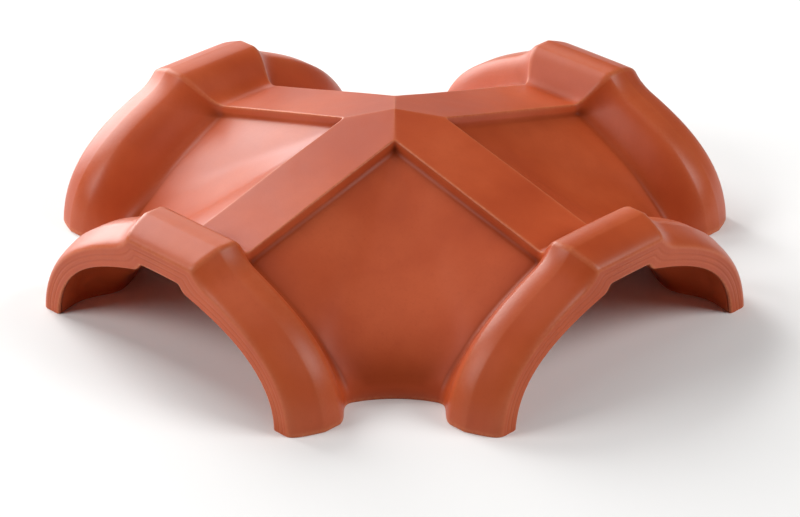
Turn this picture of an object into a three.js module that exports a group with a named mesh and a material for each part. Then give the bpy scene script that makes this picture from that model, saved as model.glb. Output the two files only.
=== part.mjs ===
// Four-way ridge tile of fired clay: a hollow vault with four equal arms, made to cap the
// point where four roof ridges meet. A raised band runs down each arm from the apex, the
// flanks sweep into four rounded valleys, and each arm ends in a thick socket collar.
//
// Millimetres, +Z up. The origin is under the apex, on the plane that the feet stand on.
// One eighth of the tile lies between the middle line of an arm (+X) and the diagonal beside
// it. In that eighth, u is the distance along the arm and v the distance across it.

import * as THREE from 'three';
import { ParametricGeometry } from 'three/addons/geometries/ParametricGeometry.js';
import { mergeGeometries, mergeVertices } from 'three/addons/utils/BufferGeometryUtils.js';

// Driving dimensions
const HALF_SPAN = 222; // from the middle to an arm's end face
const APEX_HEIGHT = 121;
const RIDGE_FALL = 0.2635; // drop of the ridge for each millimetre along an arm
const BAND_HALF_WIDTH = 25.5;
const BAND_STEP = 7.5; // height of the raised band above the flank beside it
const STEP_DRAFT = 1.5; // how far the band's side leans out
const FOOT_HALF_WIDTH = 114; // body of an arm, outside, at its foot
const VALLEY_RADIUS = 82; // rounding of the valley's corner in plan, at the foot
const WALL = 13; // thickness of the vault

// A flank is a cubic curve between the band and the foot. These are its two control points:
// distance from the arm's middle line, and height as a share of the height under the band.
const OUTER_FLANK = [[70, 0.73], [112, 0.47]];
const INNER_FLANK = [[62, 0.72], [98, 0.45]];

// Collar: a thick roll around the end of each arm, with the band carried over it as a block
const COLLAR_START = 157; // u where the roll leaves the body
const COLLAR_CREST = 192; // u of the highest line of the roll
const LIP_START = 199; // u where the roll begins to round off towards the end face
const BLOCK_HEIGHT = 99; // top of the block, at the crest
const BLOCK_HALF_WIDTH = 37;
const BLOCK_FOOT = [47, 87.5]; // where the block's side meets the roll: v and height
const ROLL_FLANK = [[88, 71], [134, 50]]; // control points of the roll: v and height
const COLLAR_HALF_WIDTH = 136; // outside of the roll at its foot

// Outer edge of the end face, where the rounded lip of the roll ends: v and height
const END_TOP = [31, 86.5];
const END_STEP = [38, 78];
const END_FLANK = [[80, 64], [119, 46]];
const END_HALF_WIDTH = 122;

// Socket: the wider space inside a collar, which takes the end of the next tile
const SOCKET_START = 163;
const SOCKET_CREST = 197;
const SOCKET_TAPER_START = 203; // from here the socket narrows in a straight line to its mouth
const SOCKET_HEIGHT = 84;
const SOCKET_FLANK = [[62, 66], [108, 50]];
const SOCKET_HALF_WIDTH = 113;
const MOUTH_HEIGHT = 72.5;
const MOUTH_FLANK = [[62, 57], [106, 42]];
const MOUTH_HALF_WIDTH = 109;

// The inside of the band is narrower than the band, and its edge is eased
const INNER_BAND_INSET = 7;
const INNER_BAND_EASE = 4;
const INNER_BAND_STEP = 5;
const BAND_EXTRA_WALL = 2; // the band's wall is this much thicker than the vault's

// Two fine grooves run around each end face, between three lips
const GROOVE_PLACES = [0.36, 0.68]; // share of the face's width, from its inner edge
const GROOVE_HALF_SHARE = 0.05;
const GROOVE_DEPTH = 1.6;

// Shape of a collar's rise: where its S-curve pulls, as shares of its length, and the fullness
// of its rounded lip
const RISE_PULL = [0.28, 0.4];
const LIP_FULLNESS = 0.5;

// Fineness of the faceted surface
const FLANK_ROWS = 8;
const BODY_COLUMNS = 6;
const ROLL_COLUMNS = 5;

const TERRACOTTA = new THREE.MeshStandardMaterial({ color: 0xb4502f, roughness: 0.5, metalness: 0 });

// Height of the ridge line at distance u from the middle.
function ridgeHeight(u) {
  return APEX_HEIGHT - RIDGE_FALL * u;
}

// Plane cubic curve through its first and last points.
function cubic(...points) {
  return new THREE.CubicBezierCurve(...points.map(([x, y]) => new THREE.Vector2(x, y)));
}

// Columns over a collar. Each has its place u along the arm, the share of the collar's rise that
// it stands at, and the share of the way from the collar's section to the end face's.
// First an S-curve up to the crest, then a level stretch and a lip down to the end face.
function collarColumns(start, crest, lip) {
  const [early, late] = RISE_PULL.map((share) => THREE.MathUtils.lerp(start, crest, share));
  const roll = cubic([start, 0], [early, 0], [late, 1], [crest, 1]);
  return [
    ...roll.getPoints(ROLL_COLUMNS).map(({ x: u, y: rise }) => ({ u, rise, end: 0 })),
    ...lip.getPoints(ROLL_COLUMNS).map(({ x: u, y: end }) => ({ u, rise: 1, end })),
  ];
}

// A skin of the tile is a list of rows from the middle of the band to the foot. A row has its
// distance v from the arm's middle line, the share of the skin's height that it stands at, the
// drop of the skin below the ridge line, the radius of its valley corner, and its places on the
// collar and at the end face.
function skinRows({ band, body, collar, end, footRadius }) {
  const rows = [
    { v: 0, drop: band.drop, collar: [0, collar.top[1]], end: [0, end.top[1]] },
    { v: band.width, drop: band.drop, collar: collar.top, end: end.top },
    { v: body.start, drop: body.drop, collar: collar.start, end: end.start },
  ].map((row) => ({ share: 1, radius: 0, ...row }));
  const bodyCurve = cubic([body.start, 1], ...body.flank, [body.foot, 0]);
  const [rollCurve, endCurve] = [collar, end].map(
    (section) => cubic(section.start, ...section.flank, [section.foot, 0]),
  );
  for (let i = 1; i <= FLANK_ROWS; i += 1) {
    const place = i / FLANK_ROWS;
    const { x: v, y: share } = bodyCurve.getPoint(place);
    const radius = (footRadius * (v - body.start)) / (body.foot - body.start);
    const [onCollar, atEnd] = [rollCurve, endCurve].map((curve) => curve.getPoint(place).toArray());
    rows.push({ v, share, drop: body.drop, radius, collar: onCollar, end: atEnd });
  }
  return rows;
}

const outerRows = skinRows({
  band: { width: BAND_HALF_WIDTH, drop: 0 },
  body: { start: BAND_HALF_WIDTH + STEP_DRAFT, drop: BAND_STEP, flank: OUTER_FLANK, foot: FOOT_HALF_WIDTH },
  collar: {
    top: [BLOCK_HALF_WIDTH, BLOCK_HEIGHT],
    start: BLOCK_FOOT,
    flank: ROLL_FLANK,
    foot: COLLAR_HALF_WIDTH,
  },
  end: { top: END_TOP, start: END_STEP, flank: END_FLANK, foot: END_HALF_WIDTH },
  footRadius: VALLEY_RADIUS,
});

const innerBand = BAND_HALF_WIDTH - INNER_BAND_INSET;
const innerStart = innerBand + INNER_BAND_EASE;
const innerRows = skinRows({
  band: { width: innerBand, drop: WALL + BAND_EXTRA_WALL },
  body: { start: innerStart, drop: WALL + BAND_STEP, flank: INNER_FLANK, foot: FOOT_HALF_WIDTH - WALL },
  collar: {
    top: [innerBand, SOCKET_HEIGHT],
    start: [innerStart, SOCKET_HEIGHT - INNER_BAND_STEP],
    flank: SOCKET_FLANK,
    foot: SOCKET_HALF_WIDTH,
  },
  end: {
    top: [innerBand, MOUTH_HEIGHT],
    start: [innerStart, MOUTH_HEIGHT - INNER_BAND_STEP],
    flank: MOUTH_FLANK,
    foot: MOUTH_HALF_WIDTH,
  },
  footRadius: VALLEY_RADIUS + WALL,
});

// The outer lip is a rounded quarter-turn that arrives upright at the end face.
const lipPull = THREE.MathUtils.lerp(LIP_START, HALF_SPAN, LIP_FULLNESS);
const outerLip = cubic([LIP_START, 0], [lipPull, 0], [HALF_SPAN, 1 - LIP_FULLNESS], [HALF_SPAN, 1]);
const socketTaper = new THREE.LineCurve(
  new THREE.Vector2(SOCKET_TAPER_START, 0),
  new THREE.Vector2(HALF_SPAN, 1),
);
const outerColumns = collarColumns(COLLAR_START, COLLAR_CREST, outerLip);
const innerColumns = collarColumns(SOCKET_START, SOCKET_CREST, socketTaper);

const ROW_COUNT = outerRows.length - 1;
const COLUMN_COUNT = BODY_COLUMNS + outerColumns.length - 1;

// Point of the vault without its collar. In plan a row runs straight along the arm and turns
// into the next arm through an arc, and it falls with the ridge; around the arc the fall is
// eased so that it is level on the diagonal.
function bodyPoint(row, u) {
  const arcStart = row.v + row.radius;
  if (row.radius === 0 || u >= arcStart) {
    return { v: row.v, z: row.share * (ridgeHeight(u) - row.drop) };
  }
  const sine = Math.min((arcStart - u) / row.radius, 1);
  const cosine = Math.sqrt(1 - sine * sine);
  const easedU = arcStart - row.radius * sine * cosine;
  return { v: arcStart - row.radius * cosine, z: row.share * (ridgeHeight(easedU) - row.drop) };
}

// Where a row meets the diagonal between two arms.
function diagonalPlace(row) {
  return row.v + row.radius * (1 - Math.SQRT1_2);
}

// Point of a skin at a row and a column: columns run from the diagonal to the collar, and then
// over the collar to the end face.
function skinPoint(rows, columns, rowIndex, columnIndex) {
  const row = rows[rowIndex];
  if (columnIndex <= BODY_COLUMNS) {
    const start = diagonalPlace(row);
    const u = THREE.MathUtils.lerp(start, columns[0].u, columnIndex / BODY_COLUMNS);
    const body = bodyPoint(row, u);
    return new THREE.Vector3(u, body.v, body.z);
  }
  const { u, rise, end } = columns[columnIndex - BODY_COLUMNS];
  const body = bodyPoint(row, u);
  const [v, z] = [body.v, body.z].map((onBody, axis) => {
    const onCollar = THREE.MathUtils.lerp(onBody, row.collar[axis], rise);
    return THREE.MathUtils.lerp(onCollar, row.end[axis], end);
  });
  return new THREE.Vector3(u, v, z);
}

const outerPoint = (row, column) => skinPoint(outerRows, outerColumns, row, column);
const innerPoint = (row, column) => skinPoint(innerRows, innerColumns, row, column);

// Steps across the end face from the inner edge to the outer edge, as share of width and depth.
function endFaceSteps() {
  const steps = [{ share: 0, depth: 0 }];
  for (const place of GROOVE_PLACES) {
    steps.push({ share: place - GROOVE_HALF_SHARE, depth: 0 });
    steps.push({ share: place, depth: GROOVE_DEPTH });
    steps.push({ share: place + GROOVE_HALF_SHARE, depth: 0 });
  }
  steps.push({ share: 1, depth: 0 });
  return steps;
}

// A patch of the surface, from a function of two whole-number places on a grid.
function patch(pointAt, rowCount, columnCount) {
  const place = (s, t, target) => {
    target.copy(pointAt(Math.round(s * rowCount), Math.round(t * columnCount)));
  };
  return new ParametricGeometry(place, rowCount, columnCount);
}

// Point of the end face at a row of the skins and a step across the face.
function endPoint(row, step) {
  const point = innerPoint(row, COLUMN_COUNT).lerp(outerPoint(row, COLUMN_COUNT), step.share);
  point.x -= step.depth;
  return point;
}

// The flat foot: its outline runs along the outer skin, back across the end face and its
// grooves, and along the inner skin to the diagonal.
function footFace(steps) {
  const outline = [];
  for (let column = 0; column < COLUMN_COUNT; column += 1) {
    outline.push(outerPoint(ROW_COUNT, column));
  }
  for (const step of [...steps].reverse()) {
    outline.push(endPoint(ROW_COUNT, step));
  }
  for (let column = COLUMN_COUNT - 1; column >= 0; column -= 1) {
    outline.push(innerPoint(ROW_COUNT, column));
  }
  const corners = outline.map(({ x, y }) => new THREE.Vector2(x, y));
  return new THREE.ShapeGeometry(new THREE.Shape(corners));
}

// One eighth of the tile: outer skin, inner skin, end face and foot.
function eighth() {
  const steps = endFaceSteps();
  return mergeGeometries([
    turnedOver(patch(outerPoint, ROW_COUNT, COLUMN_COUNT)),
    patch(innerPoint, ROW_COUNT, COLUMN_COUNT),
    patch((row, step) => endPoint(row, steps[step]), ROW_COUNT, steps.length - 1),
    turnedOver(footFace(steps)),
  ]);
}

// The same surface with its faces pointing the other way.
function turnedOver(geometry) {
  const index = geometry.index;
  for (let i = 0; i < index.count; i += 3) {
    const first = index.getX(i);
    index.setX(i, index.getX(i + 1));
    index.setX(i + 1, first);
  }
  return geometry;
}

// The whole tile: the eighth and its mirror image, turned to each of the four arms.
function ridgeTileGeometry() {
  const half = eighth();
  const mirrored = turnedOver(half.clone().applyMatrix4(new THREE.Matrix4().makeScale(1, -1, 1)));
  const arms = [];
  for (let arm = 0; arm < 4; arm += 1) {
    const turn = new THREE.Matrix4().makeRotationZ((arm * Math.PI) / 2);
    arms.push(half.clone().applyMatrix4(turn), mirrored.clone().applyMatrix4(turn));
  }
  const whole = mergeGeometries(arms);
  whole.deleteAttribute('normal');
  whole.deleteAttribute('uv');
  const joined = mergeVertices(whole, 0.01);
  joined.computeVertexNormals();
  return joined;
}

const ridgeTile = new THREE.Mesh(ridgeTileGeometry(), TERRACOTTA);
ridgeTile.name = 'ridge_tile';

const object = new THREE.Group();
object.add(ridgeTile);

export default object;
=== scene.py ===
"""Four-way ridge tile of slip-coated fired clay, standing on a pale floor in soft studio light.

Sizes are in millimetres in the tile's own frame: +Z up, the origin under the apex on the plane
that the feet stand on, and one arm along each of +X, -X, +Y and -Y. Meshes are made in metres.
"""

import logging
from dataclasses import dataclass
from enum import Enum, IntEnum

import bpy
import numpy as np
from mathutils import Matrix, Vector


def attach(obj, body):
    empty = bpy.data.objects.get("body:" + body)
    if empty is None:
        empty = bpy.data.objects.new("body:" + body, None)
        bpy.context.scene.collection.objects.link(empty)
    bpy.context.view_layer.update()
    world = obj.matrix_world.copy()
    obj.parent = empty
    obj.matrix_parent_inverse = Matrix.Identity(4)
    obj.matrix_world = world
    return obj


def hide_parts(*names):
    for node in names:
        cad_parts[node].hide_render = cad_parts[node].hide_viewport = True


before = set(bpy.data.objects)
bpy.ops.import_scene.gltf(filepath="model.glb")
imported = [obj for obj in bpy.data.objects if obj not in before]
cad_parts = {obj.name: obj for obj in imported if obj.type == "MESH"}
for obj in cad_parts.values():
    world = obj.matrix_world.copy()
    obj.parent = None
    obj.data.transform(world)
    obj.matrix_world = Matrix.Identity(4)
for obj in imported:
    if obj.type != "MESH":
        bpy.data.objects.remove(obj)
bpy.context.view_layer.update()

MM = 0.001
LOG = logging.getLogger("ridge_tile")

Array = np.ndarray


def mix(start: Array, end: Array, share: Array) -> Array:
    """Straight mix of two values: start at share 0 and end at share 1."""
    return start + (end - start) * share


def cubic(points: list[tuple[float, float]], places: Array) -> Array:
    """Plane cubic curve through its first and last points.

    Bernstein form: the four points weighted by (1-t)^3, 3t(1-t)^2, 3t^2(1-t) and t^3.

    Args:
        points: start, two control points and end.
        places: values of t from 0 to 1, of any length n.

    Returns:
        Array of n points, one per row.
    """
    t = np.asarray(places, float)[:, None]
    rest = 1.0 - t
    first, second, third, last = np.asarray(points, float)
    return rest**3 * first + 3 * t * rest**2 * second + 3 * t**2 * rest * third + t**3 * last


def rounded_corner(before: Array, corner: Array, after: Array, places: Array) -> Array:
    """Corner eased by a parabola that leaves along one side and arrives along the other.

    Weights (1-t)^2, 2t(1-t) and t^2 on the point before the corner, the corner and the point after.

    Args:
        before: point on the side that leads to the corner.
        corner: the sharp corner itself.
        after: point on the side that leads away.
        places: values of t from 0 to 1.

    Returns:
        One point per value of t.
    """
    t = np.asarray(places, float)[:, None]
    return (1 - t) ** 2 * before + 2 * t * (1 - t) * corner + t**2 * after


def curve_start(first: tuple[float, float], pull: tuple[float, float], length: float) -> float:
    """Place on a cubic curve a short length after its start.

    The curve leaves its first point at three times the way to its first control point.

    Args:
        first: the curve's first point.
        pull: its first control point.
        length: how far along the curve.

    Returns:
        The value of t there.
    """
    return length / (3 * np.hypot(pull[0] - first[0], pull[1] - first[1]))


def even(count: int) -> Array:
    """Places from 0 to 1 in even steps, without the last one, which starts the next stretch."""
    return np.arange(count) / count


def crowded(count: int) -> Array:
    """Places from 0 to 1 that crowd towards both ends as (1 - cos(pi t)) / 2, without the last."""
    return 0.5 - 0.5 * np.cos(np.pi * even(count))


class Row(IntEnum):
    """What each number of a row of a skin means."""

    ACROSS = 0  # distance from the arm's middle line
    SHARE = 1  # height as a share of the skin's height at its top
    DROP = 2  # how far the skin's top lies below the ridge line
    CORNER = 3  # radius of the row's turn into the next arm, in plan
    COLLAR_ACROSS = 4  # distance from the middle line on the collar
    COLLAR_HEIGHT = 5  # height on the collar
    END_ACROSS = 6  # distance from the middle line at the end face
    END_HEIGHT = 7  # height at the end face


class Arm(IntEnum):
    """The four arms, each a quarter turn after the one before it."""

    PLUS_X = 0
    PLUS_Y = 1
    MINUS_X = 2
    MINUS_Y = 3


class Side(Enum):
    """The two skins of the tile's wall."""

    OUTER = "outer"
    INNER = "inner"


@dataclass(frozen=True)
class Rows:
    """How many steps a skin has across each stretch of its section, from the ridge to the foot."""

    band: int = 9
    arris: int = 6
    step: int = 3
    fillet: int = 6
    flank: int = 26
    toe: int = 4


@dataclass(frozen=True)
class Columns:
    """How many steps a skin has along an arm: body, rise of the collar, level crest and lip.

    Of the lip's steps, the last few on the inner skin go round the edge of the socket's mouth.
    """

    body: int = 26
    rise: int = 22
    crest: int = 2
    lip: int = 14
    mouth: int = 4


@dataclass(frozen=True)
class SkinSizes:
    """Sizes of one skin of the wall, in millimetres.

    Points of a section are (distance from the arm's middle line, height or share of height).
    """

    band: float
    band_drop: float
    start: float
    drop: float
    flank: tuple[tuple[float, float], tuple[float, float]]
    foot: float
    band_corner: float
    foot_corner: float
    collar_top: tuple[float, float]
    collar_start: tuple[float, float]
    collar_flank: tuple[tuple[float, float], tuple[float, float]]
    collar_foot: float
    end_top: tuple[float, float]
    end_start: tuple[float, float]
    end_flank: tuple[tuple[float, float], tuple[float, float]]
    end_foot: float
    rise_start: float
    crest: float
    lip_start: float
    arris_ease: float
    block_ease: float
    fillet: float
    collar_fillet: float
    toe: float

    def key_rows(self) -> tuple[Array, Array, Array]:
        """Rows of the ridge line, of the band's edge and of the foot of the band's step."""
        edge = np.array([
            self.band, 1.0, self.band_drop, self.band_corner, *self.collar_top, *self.end_top,
        ])
        step_foot = np.array([
            self.start, 1.0, self.drop, self.band_corner, *self.collar_start, *self.end_start,
        ])
        ridge = edge.copy()
        ridge[[Row.ACROSS, Row.CORNER, Row.COLLAR_ACROSS, Row.END_ACROSS]] = 0.0
        return ridge, edge, step_foot

    def flank_rows(self, body_places: Array, collar_places: Array) -> Array:
        """Rows of the flank, from the step to the foot.

        The body's section is a cubic curve from the step to the foot, with its height as a share of
        the height under the band. The sections of the collar and of the end face are cubic curves
        of their own. The turn into the next arm widens with the distance from the band.

        Args:
            body_places: places on the body's curve, from 0 at the step to 1 at the foot.
            collar_places: places on the collar's curve.

        Returns:
            One row for each place.
        """
        body = cubic([(self.start, 1.0), *self.flank, (self.foot, 0.0)], body_places)
        roll = cubic([self.collar_start, *self.collar_flank, (self.collar_foot, 0.0)], collar_places)
        end = cubic([self.end_start, *self.end_flank, (self.end_foot, 0.0)], collar_places)
        across = body[:, 0]
        spread = (across - self.start) / (self.foot - self.start)
        corner = mix(self.band_corner, self.foot_corner, spread)
        drop = np.full_like(across, self.drop)
        return np.column_stack([across, body[:, 1], drop, corner, roll, end])

    def eased_towards(self, row: Array, other: Array, body_ease: float, collar_ease: float) -> Array:
        """Row a little way from one key row towards another.

        Args:
            row: the row to start from.
            other: the row to go towards.
            body_ease: how far to go on the body, in millimetres.
            collar_ease: how far to go on the collar, in millimetres.

        Returns:
            The row in between.
        """
        span = other - row
        body_length = np.hypot(span[Row.ACROSS], span[Row.DROP])
        collar_length = np.hypot(span[Row.COLLAR_ACROSS], span[Row.COLLAR_HEIGHT])
        shares = np.full(len(Row), body_ease / body_length)
        shares[Row.COLLAR_ACROSS:] = collar_ease / collar_length
        return mix(row, other, shares)

    def rows(self, counts: Rows, body_height: float) -> Array:
        """All rows of the skin, from the ridge line to the underside of the foot.

        The section is the level band, its rounded edge, the side of the step, a small fillet, the
        flank and a rounded toe that ends on the plane of the feet.

        Args:
            counts: steps in each stretch.
            body_height: height of the skin's top, which turns shares of height into millimetres.

        Returns:
            Array with one row of the skin in each row, laid out as Row says.
        """
        ridge, edge, step_foot = self.key_rows()
        pull_across, pull_share = self.flank[0]
        body_pull = (pull_across, pull_share * body_height)
        body_start = curve_start((self.start, body_height), body_pull, self.fillet)
        collar_start = curve_start(self.collar_start, self.collar_flank[0], self.collar_fillet)
        before_edge = self.eased_towards(edge, ridge, self.arris_ease, self.block_ease)
        after_edge = self.eased_towards(edge, step_foot, self.arris_ease, self.block_ease)
        before_foot = self.eased_towards(step_foot, edge, self.fillet, self.collar_fillet)
        flank_places = mix(np.array([[body_start], [collar_start]]), 1.0, crowded(counts.flank + 1))
        flank_rows = self.flank_rows(*flank_places)
        toe_corner = self.flank_rows(np.ones(1), np.ones(1))[0]
        underside = toe_corner.copy()
        underside[[Row.ACROSS, Row.COLLAR_ACROSS, Row.END_ACROSS]] -= self.toe
        underside[Row.CORNER] += self.toe
        stretches = [
            mix(ridge, before_edge, crowded(counts.band)[:, None]),
            rounded_corner(before_edge, edge, after_edge, even(counts.arris)),
            mix(after_edge, before_foot, even(counts.step)[:, None]),
            rounded_corner(before_foot, step_foot, flank_rows[0], even(counts.fillet)),
            flank_rows[:-1],
            rounded_corner(flank_rows[-1], toe_corner, underside, np.append(even(counts.toe), 1.0)),
        ]
        return np.concatenate(stretches)


@dataclass(frozen=True)
class SlipCoatedClay:
    """Slip-coated fired clay: pressed terracotta with a sprayed clay slip, fired to a satin skin.

    To the eye it is an even brick orange with a broad soft sheen. The slip runs a little thinner
    and paler on the arrises, which also paints part of their highlight, the recesses and the feet
    of the valleys are darkened with painted shade, and the skin has a faint grain.
    """

    name: str = "slip_coated_fired_clay"
    slip: str = "#B94E26"
    slip_deep: str = "#AD4521"
    slip_pale: str = "#C2572E"
    # paler slip on the arrises: thinner slip, and in part a painted highlight
    thin_slip_and_highlight: str = "#CF7A50"
    # painted shade for creases, recesses and the feet of the valleys
    painted_shade_tone: str = "#5E2211"
    roughness: tuple[float, float] = (0.34, 0.42)
    rough_range: tuple[float, float] = (0.3, 0.7)  # of the clouds
    ior: float = 1.46
    specular: tuple[float, float] = (0.36, 0.05)  # on the open skin, and in a recess
    matt_share: float = 0.5  # share of painted shade at which a recess is fully matt
    cloud_mm: float = 85.0
    cloud_range: tuple[float, float] = (0.32, 0.68)
    fleck_mm: float = 2.2  # real flecks are under 1 mm; drawn coarser, so that they show
    fleck_mix: tuple[float, float, float] = (0.55, 0.8, 0.3)  # from, to, and share of deep slip
    streak_mm: tuple[float, float] = (9.0, 140.0)  # across, and down
    streak_mix: tuple[float, float, float] = (0.42, 0.75, 0.22)
    grain_mm: float = 1.8  # real grain is about 0.5 mm; drawn coarser, so that it shows
    grain_depth_mm: float = 0.15
    grain_strength: float = 0.35
    ripple_mm: float = 22.0
    ripple_depth_mm: float = 0.5
    ripple_strength: float = 0.5

    def material(self) -> bpy.types.Material:
        """Makes the material from nodes on Object coordinates and the tile's own attributes.

        Returns:
            The finished material.
        """
        material = bpy.data.materials.new(self.name)
        material.use_nodes = True
        tree = material.node_tree
        tree.nodes.clear()
        place = add_node(tree, "ShaderNodeTexCoord").outputs["Object"]
        colour = self.colour(tree, place)
        clouds = self.noise(tree, place, self.cloud_mm, detail=3.0)
        rough = add_node(tree, "ShaderNodeMapRange", {
            "Value": clouds, "From Min": self.rough_range[0], "From Max": self.rough_range[1],
            "To Min": self.roughness[0], "To Max": self.roughness[1],
        }).outputs["Result"]
        # the painted shade mask also dulls the sheen in creases
        painted_shade = add_node(tree, "ShaderNodeAttribute", attribute_name="painted_shade").outputs["Fac"]
        gloss = add_node(tree, "ShaderNodeMapRange", {
            "Value": painted_shade, "From Max": self.matt_share,
            "To Min": self.specular[0], "To Max": self.specular[1],
        }).outputs["Result"]
        shader = add_node(tree, "ShaderNodeBsdfPrincipled", {
            "Base Color": colour, "Roughness": rough, "IOR": self.ior,
            "Specular IOR Level": gloss, "Normal": self.relief(tree, place),
        }).outputs["BSDF"]
        add_node(tree, "ShaderNodeOutputMaterial", {"Surface": shader})
        return material

    def noise(
        self, tree: bpy.types.NodeTree, place: bpy.types.NodeSocket, size_mm: float, detail: float
    ) -> bpy.types.NodeSocket:
        """Noise whose features are about size_mm across.

        Args:
            tree: the material's nodes.
            place: socket with the coordinates in metres.
            size_mm: width of a feature.
            detail: octaves of finer noise on top.

        Returns:
            Socket with values around 0.5.
        """
        return add_node(tree, "ShaderNodeTexNoise", {
            "Vector": place, "Scale": 1.0 / (size_mm * MM), "Detail": detail,
        }).outputs["Fac"]

    def colour(self, tree: bpy.types.NodeTree, place: bpy.types.NodeSocket) -> bpy.types.NodeSocket:
        """Colour of the slip: clouds, faint streaks and flecks, paler on arrises (thin slip and in
        part a painted highlight) and darkened by painted shade in recesses.

        Args:
            tree: the material's nodes.
            place: socket with the coordinates in metres.

        Returns:
            Socket with the colour.
        """
        clouds = self.noise(tree, place, self.cloud_mm, detail=4.0)
        flecks = self.noise(tree, place, self.fleck_mm, detail=2.0)
        across, along = self.streak_mm
        stretched = add_node(tree, "ShaderNodeMapping", {
            "Vector": place, "Scale": (1 / (across * MM), 1 / (across * MM), 1 / (along * MM)),
        }).outputs["Vector"]
        streaks = add_node(tree, "ShaderNodeTexNoise", {
            "Vector": stretched, "Scale": 1.0, "Detail": 3.0,
        }).outputs["Fac"]
        tone = add_node(tree, "ShaderNodeValToRGB", {"Fac": clouds}).outputs["Color"]
        ramp = tone.node.color_ramp
        for element, position, slip in zip(
            ramp.elements, self.cloud_range, (self.slip_deep, self.slip_pale)
        ):
            element.position = position
            element.color = linear(slip)
        middle = ramp.elements.new(sum(self.cloud_range) / 2)
        middle.color = linear(self.slip)
        for pattern, (low, high, strength) in ((streaks, self.streak_mix), (flecks, self.fleck_mix)):
            amount = add_node(tree, "ShaderNodeMapRange", {
                "Value": pattern, "From Min": low, "From Max": high, "To Min": 0.0, "To Max": strength,
            }).outputs["Result"]
            tone = self.mixed(tree, amount, tone, self.slip_deep)
        # Paler thin slip on the arrises, speckled by the flecks: partly real wear, partly a painted
        # highlight.
        arris = add_node(tree, "ShaderNodeAttribute", attribute_name="arris").outputs["Fac"]
        worn_and_highlight = add_node(tree, "ShaderNodeMath", {
            "Value": arris, "Value_001": flecks,
        }, operation="MULTIPLY").outputs["Value"]
        tone = self.mixed(tree, worn_and_highlight, tone, self.thin_slip_and_highlight)
        # Painted shade: darker in creases, recesses and at the feet of the valleys.
        painted_shade = add_node(tree, "ShaderNodeAttribute", attribute_name="painted_shade").outputs["Fac"]
        return self.mixed(tree, painted_shade, tone, self.painted_shade_tone)

    def mixed(
        self,
        tree: bpy.types.NodeTree,
        amount: bpy.types.NodeSocket,
        tone: bpy.types.NodeSocket,
        other: str,
    ) -> bpy.types.NodeSocket:
        """Mixes a colour socket towards another colour.

        Args:
            tree: the material's nodes.
            amount: socket with the share of the other colour.
            tone: socket with the colour so far.
            other: the other colour, as sRGB hex.

        Returns:
            Socket with the mixed colour.
        """
        node = add_node(tree, "ShaderNodeMix", {
            "Factor_Float": amount, "A_Color": tone, "B_Color": linear(other),
        }, data_type="RGBA")
        return node.outputs[2]

    def relief(self, tree: bpy.types.NodeTree, place: bpy.types.NodeSocket) -> bpy.types.NodeSocket:
        """Normal of the skin: slow ripples from the press and the grain of the clay under the slip.

        Args:
            tree: the material's nodes.
            place: socket with the coordinates in metres.

        Returns:
            Socket with the normal.
        """
        ripple = add_node(tree, "ShaderNodeBump", {
            "Height": self.noise(tree, place, self.ripple_mm, detail=1.0),
            "Strength": self.ripple_strength, "Distance": self.ripple_depth_mm * MM,
        }).outputs["Normal"]
        return add_node(tree, "ShaderNodeBump", {
            "Height": self.noise(tree, place, self.grain_mm, detail=2.0),
            "Strength": self.grain_strength, "Distance": self.grain_depth_mm * MM, "Normal": ripple,
        }).outputs["Normal"]


@dataclass(frozen=True)
class MattBackdropPaint:
    """Matt white backdrop paint: rolled on, with no gloss, so the floor is pale and even."""

    name: str = "matt_backdrop_paint"
    paint: str = "#FAFAF9"
    paint_worn: str = "#F6F5F4"
    roughness: float = 0.9
    cloud_mm: float = 900.0

    def material(self) -> bpy.types.Material:
        """Makes the material of the floor.

        Returns:
            The finished material.
        """
        material = bpy.data.materials.new(self.name)
        material.use_nodes = True
        tree = material.node_tree
        tree.nodes.clear()
        place = add_node(tree, "ShaderNodeTexCoord").outputs["Object"]
        clouds = add_node(tree, "ShaderNodeTexNoise", {
            "Vector": place, "Scale": 1.0 / (self.cloud_mm * MM),
        }).outputs["Fac"]
        tone = add_node(tree, "ShaderNodeMix", {
            "Factor_Float": clouds, "A_Color": linear(self.paint), "B_Color": linear(self.paint_worn),
        }, data_type="RGBA").outputs[2]
        shader = add_node(tree, "ShaderNodeBsdfPrincipled", {
            "Base Color": tone, "Roughness": self.roughness, "Specular IOR Level": 0.0,
        }).outputs["BSDF"]
        add_node(tree, "ShaderNodeOutputMaterial", {"Surface": shader})
        return material


def linear(colour: str) -> tuple[float, float, float, float]:
    """Turns an sRGB hex colour into linear red, green, blue and a full alpha.

    Args:
        colour: such as "#B9542F".

    Returns:
        Four numbers from 0 to 1.
    """
    encoded = np.array([int(colour[i:i + 2], 16) for i in (1, 3, 5)]) / 255.0
    values = np.where(encoded <= 0.04045, encoded / 12.92, ((encoded + 0.055) / 1.055) ** 2.4)
    return (*values.tolist(), 1.0)


def add_node(
    tree: bpy.types.NodeTree, kind: str, inputs: dict[str, object] | None = None, **settings: object
) -> bpy.types.Node:
    """Adds a node, gives it its settings and fills or links its inputs.

    Args:
        tree: the node tree to add to.
        kind: the node's type.
        inputs: values or sockets, by the identifier of the input.
        **settings: the node's own options.

    Returns:
        The new node.
    """
    node = tree.nodes.new(kind)
    for name, value in settings.items():
        setattr(node, name, value)
    sockets = {socket.identifier: socket for socket in node.inputs}
    for name, value in (inputs or {}).items():
        if isinstance(value, bpy.types.NodeSocket):
            tree.links.new(value, sockets[name])
        else:
            sockets[name].default_value = value
    return node


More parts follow.
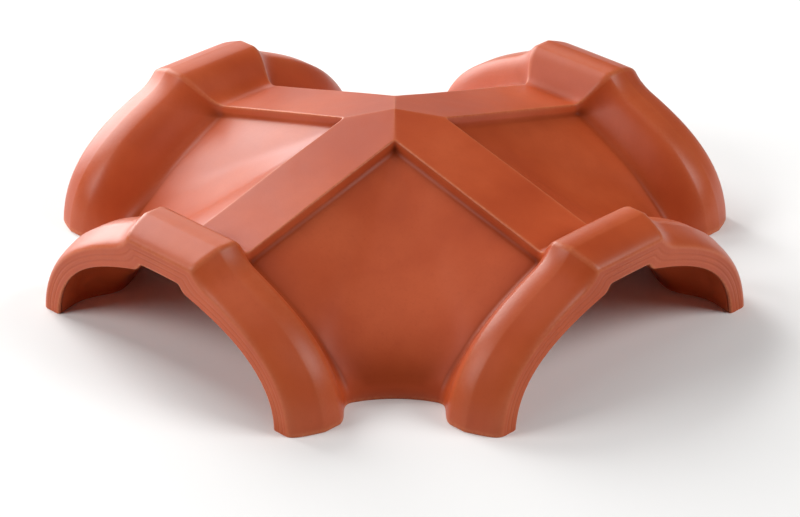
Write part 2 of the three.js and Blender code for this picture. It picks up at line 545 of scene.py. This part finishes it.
@dataclass(frozen=True)
class Surface:
    """Points and four-sided faces of a mesh, in millimetres."""

    points: Array
    faces: Array

    def turned_over(self) -> "Surface":
        """The same surface with its faces pointing the other way."""
        return Surface(self.points, self.faces[:, ::-1])

    def moved(self, matrix: Array) -> "Surface":
        """The surface with its points multiplied by a 3 by 3 matrix."""
        return Surface(self.points @ matrix.T, self.faces)

    def normals(self) -> Array:
        """Unit normal at each point: the mean of the normals of the faces around it."""
        a, b, c, d = (self.points[self.faces[:, k]] for k in range(4))
        face_normals = np.cross(c - a, d - b)
        total = np.zeros_like(self.points)
        for k in range(4):
            np.add.at(total, self.faces[:, k], face_normals)
        return total / np.linalg.norm(total, axis=1, keepdims=True)

    def edges(self) -> Array:
        """Pairs of points that are neighbours along a side of a face, each way round."""
        sides = [self.faces[:, [k, (k + 1) % 4]] for k in range(4)]
        return np.concatenate(sides)

    def bend(self, normals: Array, smoothing: int) -> Array:
        """How strongly the surface bends at each point, in 1/mm: above zero on a ridge.

        Along each side of a face the bend is twice the depth of the neighbour under the tangent
        plane, divided by its squared distance. The mean over the neighbours is then smoothed by
        averaging with the neighbours a few times.

        Args:
            normals: unit normal at each point.
            smoothing: how many times to average.

        Returns:
            One number for each point.
        """
        start, end = self.edges().T
        step = self.points[end] - self.points[start]
        depth = -np.einsum("ij,ij->i", step, normals[start])
        count = np.bincount(start, minlength=len(self.points))
        along_edges = 2 * depth / np.einsum("ij,ij->i", step, step)
        values = np.bincount(start, along_edges, len(self.points)) / count
        for _ in range(smoothing):
            around = np.bincount(start, values[end], len(self.points)) / count
            values = mix(values, around, 0.5)
        return values


def grid_surface(points: Array) -> Surface:
    """Surface over a grid of points, with one face for each cell of the grid.

    Args:
        points: array of rows by columns by 3.

    Returns:
        The surface.
    """
    rows, columns = points.shape[:2]
    index = np.arange(rows * columns).reshape(rows, columns)
    cells = [index[:-1, :-1], index[1:, :-1], index[1:, 1:], index[:-1, 1:]]
    return Surface(points.reshape(-1, 3), np.stack([cell.ravel() for cell in cells], axis=1))


def joined(surfaces: list[Surface], decimals: int = 4) -> Surface:
    """One surface from several, with points in the same place made one.

    Args:
        surfaces: the surfaces to join.
        decimals: digits of a millimetre that have to agree.

    Returns:
        The joined surface.
    """
    points = np.concatenate([surface.points for surface in surfaces])
    starts = np.cumsum([0] + [len(surface.points) for surface in surfaces[:-1]])
    faces = np.concatenate([surface.faces + start for surface, start in zip(surfaces, starts)])
    keys = np.round(points, decimals) + 0.0
    _, first, where = np.unique(keys, axis=0, return_index=True, return_inverse=True)
    return Surface(points[first], where.ravel()[faces])


@dataclass
class RidgeTile:
    """The tile: a hollow vault with four arms, a raised band on each ridge and four socket collars.

    One eighth lies between the middle line of an arm and the diagonal beside it. There u is the
    distance along the arm and v the distance across it. The eighth is mirrored and turned to
    each arm.
    """

    half_span: float = 222.0
    apex_height: float = 121.0
    ridge_fall: float = 0.2635  # drop of the ridge for each millimetre along an arm
    wall: float = 13.0
    band_step: float = 7.5  # height of the raised band above the flank beside it
    band_extra_wall: float = 2.0
    foot_half_width: float = 114.0
    valley_radius: float = 82.0  # rounding of a valley's corner in plan, at the foot
    shoulder_start: float = 161.0  # distance along an arm where its collar leaves the vault
    wide_shoulder_start: float = 150.0  # the same on the arm whose collar is wider
    wide_arm: Arm = Arm.MINUS_X
    rise_pull: tuple[float, float] = (0.34, 0.56)  # where the curve of the collar's rise pulls
    rise_slack: float = 0.13  # share of the rise that is left at its second pull
    lip_pull: tuple[float, float] = (0.35, 0.22)  # first pull of the lip: along, and down
    lip_fullness: float = 0.45
    mouth_ease: float = 2.5  # rounding of the edge between a socket and its end face
    groove_places: tuple[float, float] = (0.36, 0.68)  # share of the end face, from its inner edge
    groove_half_share: float = 0.09
    groove_depth: float = 0.22
    end_steps: int = 25  # across an end face and across the foot
    unevenness: float = 0.5  # deepest hollow that the press and the kiln leave in a flank
    unevenness_length: float = 95.0
    unevenness_spread: tuple[float, float] = (0.7, 1.6)  # shares of that length
    unevenness_waves: int = 7
    foot_fade: float = 12.0  # height over which the unevenness fades in
    seed: int = 11
    arris_bend: float = 0.2  # bend, in 1/mm, at which an arris counts in full
    arris_smoothing: int = 2
    painted_shade_bend: float = 0.16  # the same for the painted shade in a recess
    painted_shade_smoothing: int = 24  # more than for an arris, so that the painted shade spreads widely
    valley_shade_height: float = 44.0  # how far up a valley its painted shade reaches
    collar_fade: float = 12.0  # width over which that fades out before a collar
    rows: Rows = Rows()
    columns: Columns = Columns()
    finish: SlipCoatedClay = SlipCoatedClay()

    def skin(self, side: Side, arm: Arm) -> SkinSizes:
        """Sizes of one skin of the wall.

        Args:
            side: outer or inner.
            arm: which arm.

        Returns:
            The skin's sizes.
        """
        if side is Side.OUTER:
            rise_start = self.wide_shoulder_start if arm is self.wide_arm else self.shoulder_start
            return SkinSizes(
                band=25.5, band_drop=0.0, start=27.0, drop=self.band_step,
                flank=((70.0, 0.73), (112.0, 0.47)), foot=self.foot_half_width,
                band_corner=2.5, foot_corner=self.valley_radius,
                collar_top=(37.0, 99.0), collar_start=(47.0, 87.5),
                collar_flank=((88.0, 71.0), (134.0, 50.0)), collar_foot=136.0,
                end_top=(31.0, 86.5), end_start=(38.0, 78.0),
                end_flank=((80.0, 64.0), (119.0, 46.0)), end_foot=122.0,
                rise_start=rise_start, crest=187.0, lip_start=200.0,
                arris_ease=1.2, block_ease=3.0, fillet=2.6, collar_fillet=11.0, toe=1.5,
            )
        return SkinSizes(
            band=18.5, band_drop=self.wall + self.band_extra_wall,
            start=22.5, drop=self.wall + self.band_step,
            flank=((62.0, 0.72), (98.0, 0.45)), foot=self.foot_half_width - self.wall,
            band_corner=2.0, foot_corner=self.valley_radius + self.wall,
            collar_top=(18.5, 84.0), collar_start=(22.5, 79.0),
            collar_flank=((62.0, 66.0), (108.0, 50.0)), collar_foot=113.0,
            end_top=(18.5, 72.5), end_start=(22.5, 67.5),
            end_flank=((62.0, 57.0), (106.0, 42.0)), end_foot=109.0,
            rise_start=163.0, crest=197.0, lip_start=203.0,
            arris_ease=2.0, block_ease=2.0, fillet=2.0, collar_fillet=2.0, toe=-1.5,
        )

    def ridge_height(self, along: Array) -> Array:
        """Height of the ridge line at a distance along an arm: it falls in a straight line."""
        return self.apex_height - self.ridge_fall * along

    def collar_columns(self, side: Side, skin: SkinSizes) -> Array:
        """Columns over a collar, from its foot on the vault to the end face.

        First a cubic curve that swells out of the vault and arrives at the crest in an arris, then
        a level stretch. The outer lip leaves it in a second arris and turns upright into the end
        face, and the socket narrows in a straight line.

        Args:
            side: outer or inner skin.
            skin: sizes of that skin.

        Returns:
            Distance along the arm, share of the collar's rise, and share of the way from the
            collar's section to the section at the end face, for each column.
        """
        early, late = mix(skin.rise_start, skin.crest, np.array(self.rise_pull))
        swell = [(skin.rise_start, 0), (early, 0), (late, 1 - self.rise_slack), (skin.crest, 1)]
        rise = cubic(swell, even(self.columns.rise))
        level = mix(skin.crest, skin.lip_start, even(self.columns.crest))
        if side is Side.OUTER:
            pull = mix(skin.lip_start, self.half_span, self.lip_pull[0])
            turn = [(skin.lip_start, 0), (pull, self.lip_pull[1]),
                    (self.half_span, 1 - self.lip_fullness), (self.half_span, 1)]
            lip = cubic(turn, np.append(even(self.columns.lip), 1.0))
        else:
            end = np.append(even(self.columns.lip - self.columns.mouth), 1.0)
            lip = np.column_stack([mix(skin.lip_start, self.half_span, end), end])
        return np.concatenate([
            np.column_stack([rise, np.zeros(len(rise))]),
            np.column_stack([level, np.ones_like(level), np.zeros_like(level)]),
            np.column_stack([lip[:, 0], np.ones(len(lip)), lip[:, 1]]),
        ])

    def body_section(self, rows: Array, along: Array) -> tuple[Array, Array]:
        """Distance across and height of the vault, without its collars.

        In plan a row runs straight along the arm and turns into the next arm through a quarter
        arc. It falls with the ridge, and around the arc the fall is eased, as sine times cosine, so
        that it is level on the diagonal.

        Args:
            rows: rows of a skin.
            along: distance along the arm for each row and column.

        Returns:
            Distance across and height, for each row and column.
        """
        across, share, drop, corner = (rows[:, [k]] for k in range(Row.COLLAR_ACROSS))
        arc_start = across + corner
        sine = np.clip((arc_start - along) / np.maximum(corner, 1e-9), 0.0, 1.0)
        cosine = np.sqrt(1.0 - sine**2)
        eased = np.maximum(along, arc_start) - corner * sine * cosine
        return arc_start - corner * cosine, share * (self.ridge_height(eased) - drop)

    def skin_points(self, side: Side, arm: Arm) -> Array:
        """Points of a skin in one eighth of the tile.

        Columns run from the diagonal to the foot of the collar and then over the collar, where the
        section of the vault is mixed with the section of the collar by the share of its rise, and
        then with the section at the end face.

        Args:
            side: outer or inner skin.
            arm: which arm.

        Returns:
            Array of rows by columns by 3.
        """
        skin = self.skin(side, arm)
        rows = skin.rows(self.rows, self.apex_height - skin.drop)
        collar_along, collar_rise, collar_end = self.collar_columns(side, skin).T
        diagonal = rows[:, [Row.ACROSS]] + rows[:, [Row.CORNER]] * (1.0 - np.sqrt(0.5))
        body = mix(diagonal, skin.rise_start, crowded(self.columns.body)[None, :])
        collar = np.broadcast_to(collar_along, (len(rows), len(collar_along)))
        along = np.concatenate([body, collar], axis=1)
        level = np.zeros(self.columns.body)
        rise = np.concatenate([level, collar_rise])
        end = np.concatenate([level, collar_end])
        across, height = self.body_section(rows, along)
        across = mix(mix(across, rows[:, [Row.COLLAR_ACROSS]], rise), rows[:, [Row.END_ACROSS]], end)
        height = mix(mix(height, rows[:, [Row.COLLAR_HEIGHT]], rise), rows[:, [Row.END_HEIGHT]], end)
        return np.stack([along, across, height], axis=2)

    def eased_mouth(self, inner: Array, outer: Array) -> Array:
        """Inner skin with its edge at the end face rounded over onto that face.

        The last column is replaced by a parabola from a little way inside the socket, round the
        edge, to a little way out on the end face.

        Args:
            inner: points of the inner skin.
            outer: points of the outer skin.

        Returns:
            Points of the inner skin with as many columns as the outer skin.
        """
        edge = inner[:, -1]
        inside = inner[:, -2] - edge
        inside *= self.mouth_ease / np.linalg.norm(inside, axis=1, keepdims=True)
        outwards = outer[:, -1] - edge
        outwards *= self.mouth_ease / np.linalg.norm(outwards, axis=1, keepdims=True)
        t = np.linspace(0.0, 1.0, self.columns.mouth + 1)[None, :, None]
        turn = edge[:, None] + (1 - t) ** 2 * inside[:, None] + t**2 * outwards[:, None]
        return np.concatenate([inner[:, :-1], turn], axis=1)

    def end_profile(self) -> tuple[Array, Array]:
        """Steps across an end face and how deep its two fine grooves are there.

        A groove is a raised cosine: full depth at its middle, and level at its edges.

        Returns:
            Share of the face's width from the inner edge, and depth.
        """
        share = np.linspace(0.0, 1.0, self.end_steps)
        depth = np.zeros_like(share)
        for place in self.groove_places:
            away = np.clip(np.abs(share - place) / self.groove_half_share, 0.0, 1.0)
            depth += self.groove_depth * 0.5 * (1.0 + np.cos(np.pi * away))
        return share, depth

    def eighth(self, arm: Arm) -> Surface:
        """One eighth of the tile: outer skin, inner skin, end face and foot.

        The end face and the foot are straight mixes between the last columns and the last rows of
        the two skins.

        Args:
            arm: which arm it is for.

        Returns:
            The four patches as one surface.
        """
        outer = self.skin_points(Side.OUTER, arm)
        inner = self.eased_mouth(self.skin_points(Side.INNER, arm), outer)
        share, depth = self.end_profile()
        end = mix(inner[:, -1, None, :], outer[:, -1, None, :], share[None, :, None])
        end[:, :, 0] -= depth
        foot = mix(inner[-1, :, None, :], outer[-1, :, None, :], share[None, :, None])
        foot[-1, :, 0] -= depth
        return joined([
            grid_surface(outer).turned_over(),
            grid_surface(inner),
            grid_surface(end),
            grid_surface(foot).turned_over(),
        ])

    def whole(self) -> Surface:
        """The eighth and its mirror image for each of the four arms, turned there and joined."""
        quarter_turn = np.array([[0.0, -1.0, 0.0], [1.0, 0.0, 0.0], [0.0, 0.0, 1.0]])
        arms = []
        for arm in Arm:
            half = self.eighth(arm)
            mirrored = half.moved(np.diag([1.0, -1.0, 1.0])).turned_over()
            turn = np.linalg.matrix_power(quarter_turn, arm)
            arms += [half.moved(turn), mirrored.moved(turn)]
        return joined(arms)

    def unevened(self, surface: Surface) -> Surface:
        """The surface with the slow hollows that pressing and firing leave.

        The depth is a mean of sine waves in seeded directions, scaled to lie between none and the
        full unevenness. It is always inwards, and fades out at the foot, which stays flat.

        Args:
            surface: the even tile.

        Returns:
            The uneven tile.
        """
        random = np.random.default_rng(self.seed)
        count = self.unevenness_waves
        directions = random.normal(size=(count, 3))
        directions /= np.linalg.norm(directions, axis=1, keepdims=True)
        lengths = self.unevenness_length * random.uniform(*self.unevenness_spread, count)
        phases = random.uniform(0.0, 2.0 * np.pi, count)
        waves = np.sin(2.0 * np.pi * surface.points @ directions.T / lengths + phases)
        depth = self.unevenness * np.clip(0.5 + 0.5 * waves.sum(axis=1) / np.sqrt(count), 0.0, 1.0)
        depth *= np.clip(surface.points[:, 2] / self.foot_fade, 0.0, 1.0)
        return Surface(surface.points - surface.normals() * depth[:, None], surface.faces)

    def valley_foot_shade(self, points: Array) -> Array:
        """Share of painted shade at the feet of the valleys.

        It is full at the foot, falls off upwards as a square, and fades out towards the collars.

        Args:
            points: points of the tile.

        Returns:
            One share for each point.
        """
        low = np.clip(1.0 - points[:, 2] / self.valley_shade_height, 0.0, 1.0) ** 2
        along = np.abs(points[:, :2]).max(axis=1)
        return low * np.clip((self.shoulder_start - along) / self.collar_fade, 0.0, 1.0)

    def build(self) -> bpy.types.Object:
        """Makes the tile's mesh, with its arrises and its painted shade as attributes.

        An arris is where the surface bends outwards; painted shade goes where it bends inwards and
        at the foot of a valley.

        Returns:
            The tile, which stands for the solid in the frame.
        """
        surface = self.unevened(self.whole())
        normals = surface.normals()
        # The arris mask, which also carries part of the painted highlight on the edges.
        arris = surface.bend(normals, self.arris_smoothing) / self.arris_bend
        # Painted shade: where the surface bends inwards, plus the painted shade at the feet of the
        # valleys.
        painted_shade = -surface.bend(normals, self.painted_shade_smoothing) / self.painted_shade_bend
        painted_shade += self.valley_foot_shade(surface.points)
        mesh = bpy.data.meshes.new("ridge_tile_clay")
        mesh.from_pydata(surface.points * MM, [], surface.faces)
        mesh.polygons.foreach_set("use_smooth", np.ones(len(surface.faces), bool))
        for name, values in (("arris", arris), ("painted_shade", painted_shade)):
            attribute = mesh.attributes.new(name, "FLOAT", "POINT")
            attribute.data.foreach_set("value", np.clip(values, 0.0, 1.0).astype(np.float32))
        mesh.update()
        tile = bpy.data.objects.new("ridge_tile_clay", mesh)
        bpy.context.scene.collection.objects.link(tile)
        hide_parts("ridge_tile")
        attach(tile, "root")
        LOG.info("%s: %d points, %d faces", tile.name, len(surface.points), len(surface.faces))
        return tile

    def dress(self, tile: bpy.types.Object) -> None:
        """Gives the tile its slip-coated finish."""
        tile.data.materials.append(self.finish.material())


@dataclass(frozen=True)
class SoftBox:
    """A square soft light that faces the tile.

    Azimuth 0 is on the -Y side and 90 on the +X side; elevation is above the floor.
    """

    name: str
    azimuth: float
    elevation: float
    size_m: float
    power_w: float
    distance_m: float = 2.4
    colour: str = "#FFFFFF"

    def build(self) -> bpy.types.Object:
        """Makes the lamp, aimed at the middle of the tile.

        Returns:
            The lamp.
        """
        lamp = bpy.data.lights.new(self.name, "AREA")
        lamp.shape = "SQUARE"
        lamp.size = self.size_m
        lamp.energy = self.power_w
        lamp.color = linear(self.colour)[:3]
        light = bpy.data.objects.new(self.name, lamp)
        back = direction(self.azimuth, self.elevation)
        light.location = back * self.distance_m
        light.rotation_mode = "QUATERNION"
        light.rotation_quaternion = back.to_track_quat("Z", "Y")
        bpy.context.scene.collection.objects.link(light)
        LOG.info("light %s", self.name)
        return light


def direction(azimuth: float, elevation: float) -> Vector:
    """Unit vector towards an azimuth and an elevation, in degrees.

    Args:
        azimuth: 0 on the -Y side, 90 on the +X side.
        elevation: above the floor.

    Returns:
        The vector.
    """
    a, e = np.radians([azimuth, elevation])
    return Vector((np.sin(a) * np.cos(e), -np.cos(a) * np.cos(e), np.sin(e)))


@dataclass
class Studio:
    """Pale floor, soft lights and the camera at the photograph's angle."""

    floor_m: float = 24.0
    floor_steps: int = 24
    surround: str = "#FFFFFF"
    surround_strength: float = 0.06
    camera_azimuth: float = 44.91
    camera_elevation: float = 28.14
    camera_distance_m: float = 2.21776
    camera_target_mm: tuple[float, float] = (3.75, 1.46)  # to the right, and up
    lens_mm: float = 138.63
    sensor_mm: float = 36.0
    lights: tuple[SoftBox, ...] = (
        SoftBox("left_high", -90.0, 38.0, 1.3, 36.0),
        SoftBox("left_low", -100.0, 14.0, 1.1, 27.0),
        SoftBox("left_front", -30.0, 34.0, 1.2, 27.0),
        SoftBox("back_right", 120.0, 38.0, 1.2, 29.0),
        SoftBox("back_left", -125.0, 26.0, 1.2, 9.0),
        SoftBox("overhead", 0.0, 88.0, 1.2, 4.0),
    )
    finish: MattBackdropPaint = MattBackdropPaint()

    def build_floor(self) -> bpy.types.Object:
        """Makes the floor, a level grid at the height of the feet.

        Returns:
            The floor.
        """
        places = np.linspace(-0.5, 0.5, self.floor_steps + 1) * self.floor_m
        x, y = np.meshgrid(places, places, indexing="ij")
        surface = grid_surface(np.stack([x, y, np.zeros_like(x)], axis=2))
        mesh = bpy.data.meshes.new("floor")
        mesh.from_pydata(surface.points, [], surface.faces)
        floor = bpy.data.objects.new("floor", mesh)
        floor.data.materials.append(self.finish.material())
        bpy.context.scene.collection.objects.link(floor)
        LOG.info("floor %.0f m wide", self.floor_m)
        return floor

    def build_surround(self) -> None:
        """Sets the even light of the white room around the tile."""
        world = bpy.data.worlds.new("white_room")
        world.use_nodes = True
        background = world.node_tree.nodes["Background"]
        background.inputs["Color"].default_value = linear(self.surround)
        background.inputs["Strength"].default_value = self.surround_strength
        bpy.context.scene.world = world

    def build_camera(self) -> bpy.types.Object:
        """Makes the camera, a long lens that looks down on the tile between two arms.

        Returns:
            The camera, which is the scene's.
        """
        lens = bpy.data.cameras.new("camera")
        lens.lens = self.lens_mm
        lens.sensor_width = self.sensor_mm
        lens.sensor_fit = "HORIZONTAL"
        camera = bpy.data.objects.new("camera", lens)
        back = direction(self.camera_azimuth, self.camera_elevation)
        right = direction(self.camera_azimuth + 90.0, 0.0)
        aside, up = self.camera_target_mm
        target = right * aside * MM + Vector((0.0, 0.0, up * MM))
        camera.location = target + back * self.camera_distance_m
        camera.rotation_mode = "QUATERNION"
        camera.rotation_quaternion = back.to_track_quat("Z", "Y")
        bpy.context.scene.collection.objects.link(camera)
        bpy.context.scene.camera = camera
        LOG.info("camera at %s", [round(value, 3) for value in camera.location])
        return camera

    def build(self) -> None:
        """Makes the floor, the light and the camera."""
        self.build_floor()
        self.build_surround()
        for light in self.lights:
            light.build()
        self.build_camera()
        bpy.context.scene.view_settings.view_transform = "Standard"


def write_sizes() -> None:
    """Updates the view layer."""
    bpy.context.view_layer.update()


def main() -> None:
    """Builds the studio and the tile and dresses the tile."""
    logging.basicConfig(level=logging.INFO)
    Studio().build()
    ridge_tile = RidgeTile()
    ridge_tile.dress(ridge_tile.build())
    write_sizes()


if __name__ == "__main__":
    main()
